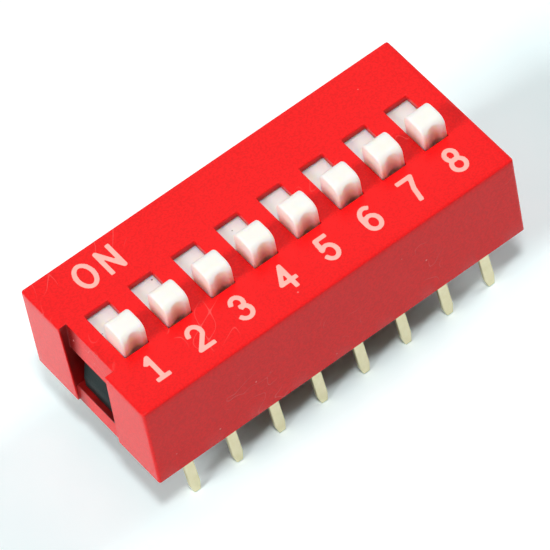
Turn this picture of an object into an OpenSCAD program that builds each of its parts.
// Eight-position slide switch in a dual in-line package, standing on its
// terminals. Lengths are in millimetres. Z = 0 is the tips of the terminals, X
// runs along the row of positions, and +Y is the side that switches on.
// The base is pushed up into the cover until the hook at each end snaps into the
// window there. Each slider carries a leaf contact that bridges its two
// terminals when it is slid towards +Y.

/* [Positions] */
// Number of switch positions
positions = 8; // [2:1:12]
// Distance between neighbouring positions
pitch = 2.54; // [2.1:0.01:3.2]
// How far a slider moves from off to on
travel = 1.7; // [1.4:0.01:2.1]

/* [Slider] */
// Length of the knob along its travel
knob_l = 1.52; // [1.2:0.01:1.9]
// How far the knob stands above the cover
knob_h = 1.35; // [0.6:0.01:2]
// Radius over which the knob's top runs down into its off and on faces
knob_top_r = 0.5; // [0.1:0.01:0.58]
// Depth of the upright hollow in the off and on faces, where a pen tip sits
knob_dish = 0.12; // [0.04:0.01:0.2]
// Radius of the knob's other edges
knob_side_r = 0.08; // [0.04:0.01:0.2]
// Thickness of the skirt that closes the slot from below
skirt_t = 0.5; // [0.3:0.01:0.7]
// How far the skirt reaches past the slot's sides
skirt_side_lap = 0.2; // [0.15:0.01:0.24]
// How far the skirt reaches past the slot's ends at the end of its travel
skirt_end_lap = 0.15; // [0.1:0.01:0.4]
// Width of the foot that carries the contact
foot_w = 1.2; // [1:0.01:1.5]
// Length of the foot
foot_l = 1.9; // [1.5:0.01:2.4]
// Height of the foot below the skirt
foot_h = 1.2; // [0.9:0.01:1.5]
// Radius of the peg that holds the contact to the foot
peg_r = 0.2; // [0.12:0.01:0.26]
// Length of the peg below the foot
peg_l = 0.3; // [0.2:0.01:0.5]

/* [Cover] */
// Height of the cover
cover_h = 5.5; // [4.5:0.05:6.6]
// Thickness of the roof
roof_t = 0.42; // [0.35:0.01:0.7]
// Thickness of the long side walls
side_wall = 0.55; // [0.4:0.01:0.8]
// Thickness of the end walls
end_wall = 0.87; // [0.7:0.01:1.2]
// Radius along the cover's outer edges
edge_r = 0.12; // [0.04:0.01:0.2]
// Width of the slot that a knob stands in
slot_w = 1.4; // [1.15:0.01:1.68]
// Room between the last skirt and the end wall
end_room = 0.3; // [0.2:0.01:0.6]
// Room between the skirt at the end of its travel and the side wall
side_room = 0.86; // [0.7:0.01:1.1]

/* [End notch and windows] */
// Width at the cover's top of the notch beside position 1. Its sides run on
// down as the sides of the windows in both ends
notch_w = 3.7; // [2.8:0.05:4.6]
// How much narrower the notch and windows would be at the cover's underside
notch_draft_w = 0.4; // [0:0.05:0.5]
// Depth of the notch at the top
notch_top_d = 0.47; // [0.25:0.01:0.6]
// Depth of the notch at the bottom
notch_bottom_d = 0.12; // [0.05:0.01:0.24]
// From the cover's top down to the window
window_drop = 1.7; // [1.4:0.05:2.1]
// Height of the bar below the window
bar_h = 1.05; // [0.8:0.01:1.3]

/* [Base] */
// How far the seat in the middle of the underside stands out below the cover
seat_proud = 0.1; // [0.05:0.01:0.3]
// From the leads to the seat, and from the base's ends
seat_inset = 1.1; // [0.8:0.05:1.5]
// Width of the snap hooks
hook_w = 2.7; // [2:0.05:3]
// How far a hook reaches out from the base's end
hook_out = 0.45; // [0.2:0.01:0.54]
// Height of a hook's upright face below its slope
hook_land = 0.7; // [0.3:0.01:0.9]

/* [Terminals] */
// Height of the cover above the tips of the leads
lead_len = 3; // [2.4:0.05:4]
// How far the leads splay outwards, in degrees
splay = 10; // [0:1:12]
// Width of a lead
lead_w = 0.58; // [0.4:0.01:0.7]
// Width of a lead's tip
tip_w = 0.36; // [0.2:0.01:0.4]
// Length of the tapered tip
tip_l = 0.45; // [0.3:0.01:0.8]
// Thickness of the strip that terminals are stamped from
strip_t = 0.25; // [0.15:0.01:0.3]
// Inner radius of the terminal's bend
bend_r = 0.15; // [0.1:0.01:0.2]
// Width of a terminal's pad inside the base
pad_w = 1; // [0.8:0.01:1.2]
// Distance of a lead's centre from the cover's side
lead_inset = 1.09; // [0.9:0.01:1.35]
// How far the wide part of a terminal stops above the base's underside
shoulder_up = 0.35; // [0.2:0.01:0.45]
// How far the off-side pad reaches past the contact's near foot
pad_over = 0.3; // [0.25:0.01:0.4]
// Gap from the contact's far foot to the on-side pad when it is off
pad_break = 0.6; // [0.5:0.01:0.75]

/* [Contacts] */
// Thickness of the contact's leaf
leaf_t = 0.12; // [0.08:0.01:0.15]
// Width of the leaf
leaf_w = 0.9; // [0.7:0.01:1.1]
// Height of the contact
contact_h = 1.2; // [0.9:0.01:1.5]
// Distance of the contact's feet from its centre
contact_reach = 1.3; // [1.1:0.01:1.6]
// Length of the flat web held against the foot
web_l = 1.1; // [0.8:0.01:1.4]
// Outer radius of the curled feet
curl_r = 0.25; // [0.18:0.01:0.3]

/* [Clearances] */
// Gap between a knob and its slot on each side
knob_gap = 0.02; // [0.02:0.01:0.08]
// Gap above and below a skirt
slide_gap = 0.04; // [0.02:0.01:0.08]
// Gap between a skirt and the ribs beside it
rib_gap = 0.05; // [0.03:0.01:0.08]
// Gap between a foot and its pocket
foot_gap = 0.1; // [0.06:0.01:0.14]
// Gap between the contact at the end of its travel and its pocket
pocket_end_gap = 0.15; // [0.1:0.01:0.3]
// Gap between the contact's feet and the pads
contact_gap = 0.02; // [0.01:0.01:0.03]
// Gap between the base and the cover's walls
fit_gap = 0.03; // [0.02:0.01:0.06]
// Gap between the peg and the leaf's hole
peg_gap = 0.02; // [0.01:0.01:0.04]

/* [Hidden] */
$fn = 32;
cut = 1;

slot_l = knob_l + travel + 2 * knob_gap;
skirt_w = slot_w + 2 * skirt_side_lap;
skirt_l = slot_l + travel + 2 * skirt_end_lap;
cavity_w = skirt_l + travel + 2 * side_room;
cover_w = cavity_w + 2 * side_wall;
row_y = cover_w / 2 - lead_inset;
last_x = (positions - 1) * pitch / 2;
cavity_l = 2 * (last_x + skirt_w / 2 + end_room);
cover_l = cavity_l + 2 * end_wall;
rib_t = pitch - skirt_w - 2 * rib_gap;

cover_z = lead_len;
seat_z = cover_z - seat_proud;
top_z = cover_z + cover_h;
skirt_z = top_z - roof_t - slide_gap - skirt_t;
base_top_z = skirt_z - slide_gap;
foot_z = skirt_z - foot_h;
floor_z = foot_z - contact_h - contact_gap;

window_z = cover_z + bar_h;
window_h = cover_h - bar_h - window_drop;
base_l = cavity_l - 2 * fit_gap;
base_w = cavity_w - 2 * fit_gap;
pocket_w = foot_w + 2 * foot_gap;
pocket_l = 2 * (contact_reach + curl_r + pocket_end_gap) + travel;

// The inner ends of the two pads, measured from the middle of the switch
off_pad_y = travel / 2 - contact_reach + pad_over;
on_pad_y = contact_reach - travel / 2 + pad_break;

function position_x(n) = (n - (positions + 1) / 2) * pitch;

// Extrudes an outline drawn as (Y, Z) along X, centred on X = 0
module along_x(length) {
    rotate([90, 0, 90]) linear_extrude(length, center = true) children();
}

// Extrudes an outline drawn as (X, Z) along Y, centred on Y = 0
module along_y(length) {
    rotate([90, 0, 0]) linear_extrude(length, center = true) children();
}

// A rectangle standing on the X axis whose two top corners are rounded
module round_topped(width, height, r) {
    translate([-width / 2, 0]) square([width, height - r]);
    translate([-width / 2 + r, 0]) square([width - 2 * r, height]);
    for (side = [-1, 1])
        translate([side * (width / 2 - r), height - r]) circle(r);
}

// A rectangle centred on the origin with all four corners rounded
module round_rect(length, width, r) {
    square([length - 2 * r, width], center = true);
    square([length, width - 2 * r], center = true);
    for (x = [-1, 1], y = [-1, 1])
        translate([x * (length / 2 - r), y * (width / 2 - r)]) circle(r);
}

// A block with rounded upright and top edges, standing on Z = 0
module soft_block(length, width, height, r) {
    intersection() {
        linear_extrude(height) round_rect(length, width, r);
        along_x(length + cut) round_topped(width, height, r);
        along_y(width + cut) round_topped(length, height, r);
    }
}

// The knob from its root inside the skirt up to its top, standing on Z = 0
module knob(width, height) {
    dish_half_w = width / 2 - knob_side_r;
    dish_r = (dish_half_w * dish_half_w + knob_dish * knob_dish) / (2 * knob_dish);
    intersection() {
        linear_extrude(height) difference() {
            round_rect(width, knob_l, knob_side_r);
            for (side = [-1, 1])
                translate([0, side * (knob_l / 2 - knob_dish + dish_r)]) circle(dish_r);
        }
        along_x(width + cut) round_topped(knob_l, height, knob_top_r);
        along_y(knob_l + cut) round_topped(width, height, knob_side_r);
    }
}

// Outline between the notch's sides, drawn as (Y, Z) with Z = 0 at the cover's
// underside
module notch_width() {
    narrow = notch_draft_w / 2 / cover_h;
    polygon([
        [-notch_w / 2 + narrow * (cover_h + cut), -cut],
        [notch_w / 2 - narrow * (cover_h + cut), -cut],
        [notch_w / 2 + narrow * cut, cover_h + cut],
        [-notch_w / 2 - narrow * cut, cover_h + cut]
    ]);
}

// The tapered hollow that is cut from an end wall whose outer face is at X = 0,
// with its depth drawn towards -X
module notch_space() {
    drop = cover_h + 2 * cut;
    lean = (notch_top_d - notch_bottom_d) / cover_h;
    intersection() {
        along_y(notch_w + 2 * cut) polygon([
            [cut, -cut],
            [cut, drop - cut],
            [-notch_top_d - lean * cut, drop - cut],
            [-notch_bottom_d + lean * cut, -cut]
        ]);
        along_x(4 * cut) notch_width();
    }
}

// The window that runs through an end wall centred on X = 0
module window_space() {
    along_x(end_wall + 2 * cut) intersection() {
        notch_width();
        translate([-notch_w / 2 - cut, bar_h]) square([notch_w + 2 * cut, window_h]);
    }
}

// The red shell: slotted roof, four walls with a window in each end, the notch
// beside position 1, and the ribs that keep the skirts apart
module cover() {
    color("red") difference() {
        translate([0, 0, cover_z]) soft_block(cover_l, cover_w, cover_h, edge_r);
        difference() {
            translate([-cavity_l / 2, -cavity_w / 2, cover_z - cut])
                cube([cavity_l, cavity_w, cover_h - roof_t + cut]);
            for (n = [1:positions - 1])
                translate([position_x(n) + pitch / 2 - rib_t / 2, -cover_w / 2, base_top_z])
                    cube([rib_t, cover_w, cover_h]);
        }
        for (n = [1:positions])
            translate([position_x(n) - slot_w / 2, -slot_l / 2, top_z - roof_t - cut])
                cube([slot_w, slot_l, roof_t + 2 * cut]);
        for (side = [-1, 1])
            translate([side * (cover_l - end_wall) / 2, 0, cover_z]) window_space();
        translate([-cover_l / 2, 0, cover_z]) rotate([0, 0, 180]) notch_space();
    }
}

// The black moulding: a floor that holds the terminals, a pocket for each
// contact, a snap hook at each end, and a seat that rests on the circuit board
module base() {
    seat_l = base_l - 2 * seat_inset;
    seat_w = 2 * (row_y - seat_inset);
    color("darkslategray") difference() {
        union() {
            translate([-base_l / 2, -base_w / 2, cover_z])
                cube([base_l, base_w, base_top_z - cover_z]);
            translate([-seat_l / 2, -seat_w / 2, seat_z])
                cube([seat_l, seat_w, seat_proud + cut]);
            for (side = [0, 180]) rotate([0, 0, side]) hook();
        }
        for (n = [1:positions]) translate([position_x(n), 0, 0]) {
            translate([-pocket_w / 2, -pocket_l / 2, floor_z])
                cube([pocket_w, pocket_l, base_top_z - floor_z + cut]);
            terminal(off_pad_y, -1);
            terminal(on_pad_y, 1);
        }
    }
}

// The hook at the +X end: a ramp that widens downwards to an upright face
module hook() {
    foot = window_z + fit_gap;
    peak = window_z + window_h - fit_gap;
    root = base_l / 2 - fit_gap;
    tip = base_l / 2 + hook_out;
    along_y(hook_w) polygon([
        [root, foot],
        [tip, foot],
        [tip, foot + hook_land],
        [base_l / 2, peak],
        [root, peak]
    ]);
}

// One slider at X = 0 in its off place: knob, skirt, foot and peg
module slider() {
    knob_w = slot_w - 2 * knob_gap;
    knob_base = skirt_z + skirt_t / 2;
    color("ivory") translate([0, -travel / 2, 0]) {
        translate([0, 0, knob_base]) knob(knob_w, top_z + knob_h - knob_base);
        translate([-skirt_w / 2, -skirt_l / 2, skirt_z]) cube([skirt_w, skirt_l, skirt_t]);
        translate([-foot_w / 2, -foot_l / 2, foot_z]) cube([foot_w, foot_l, foot_h + skirt_t / 2]);
        translate([0, 0, foot_z - peg_l]) cylinder(h = peg_l + foot_h / 2, r = peg_r);
    }
}

// The leaf contact at X = 0 in its off place: a web under the slider's foot and
// two arms that end in curled feet
module contact() {
    floor_gap_z = floor_z + contact_gap;
    color("goldenrod") translate([0, -travel / 2, 0]) difference() {
        along_x(leaf_w) {
            translate([-web_l / 2, foot_z - leaf_t]) square([web_l, leaf_t]);
            for (side = [0, 1]) mirror([side, 0]) contact_arm(floor_gap_z);
        }
        translate([0, 0, foot_z - leaf_t - cut]) cylinder(h = leaf_t + 2 * cut, r = peg_r + peg_gap);
    }
}

// Outline of one arm and its curled foot. The arm leaves the end of the web and
// meets the curl's outer circle as a tangent. The curl starts a little way back
// along the arm, so that the two join.
module contact_arm(low_z) {
    start = [web_l / 2 - leaf_t / 2, foot_z];
    centre = [contact_reach, low_z + curl_r];
    reach = centre - start;
    slope = atan2(reach[1], reach[0]) + asin(curl_r / norm(reach));
    length = sqrt(norm(reach) * norm(reach) - curl_r * curl_r);
    join = leaf_t / 4;
    translate(start) rotate(slope) translate([0, -leaf_t]) square([length, leaf_t]);
    translate(centre) difference() {
        circle(curl_r);
        circle(curl_r - leaf_t);
        rotate(slope) translate([-2 * curl_r - join, 0]) square(2 * curl_r);
    }
}

// One terminal at X = 0: a pad that ends inner_y from the middle of the switch, a
// bend, a narrow stretch down to the base's underside, and the splayed lead below
// it. Side is -1 for the off side and 1 for the on side.
module terminal(inner_y, side) {
    turn_y = row_y - strip_t / 2 - bend_r;
    turn_z = floor_z - strip_t - bend_r;
    pad_end = side * inner_y;
    shoulder_z = cover_z + shoulder_up;
    mirror([0, side < 0 ? 1 : 0, 0]) {
        along_x(pad_w) {
            translate([pad_end, floor_z - strip_t]) square([turn_y - pad_end, strip_t]);
            translate([turn_y, turn_z]) bend();
            translate([row_y - strip_t / 2, shoulder_z]) square([strip_t, turn_z - shoulder_z]);
        }
        along_x(lead_w) translate([row_y, cover_z]) {
            translate([-strip_t / 2, 0]) square([strip_t, turn_z - cover_z]);
            circle(strip_t / 2);
        }
        translate([0, row_y, cover_z]) rotate([splay, 0, 0]) along_y(strip_t) lead_outline();
    }
}

// A quarter ring that turns the strip downwards
module bend() {
    intersection() {
        difference() {
            circle(bend_r + strip_t);
            circle(bend_r);
        }
        square(2 * (bend_r + strip_t));
    }
}

// The splayed lead's outline, hanging from Z = 0. The lower corner of its tilted
// end reaches the level that the switch stands on.
module lead_outline() {
    length = (cover_z - strip_t / 2 * sin(splay)) / cos(splay);
    polygon([
        [-tip_w / 2, -length],
        [tip_w / 2, -length],
        [lead_w / 2, tip_l - length],
        [lead_w / 2, 0],
        [-lead_w / 2, 0],
        [-lead_w / 2, tip_l - length]
    ]);
}

module terminal_front() {
    color("burlywood") terminal(off_pad_y, -1);
}

module terminal_rear() {
    color("burlywood") terminal(on_pad_y, 1);
}

cover();
base();
for (n = [1:positions]) translate([position_x(n), 0, 0]) {
    slider();
    contact();
    terminal_front();
    terminal_rear();
}
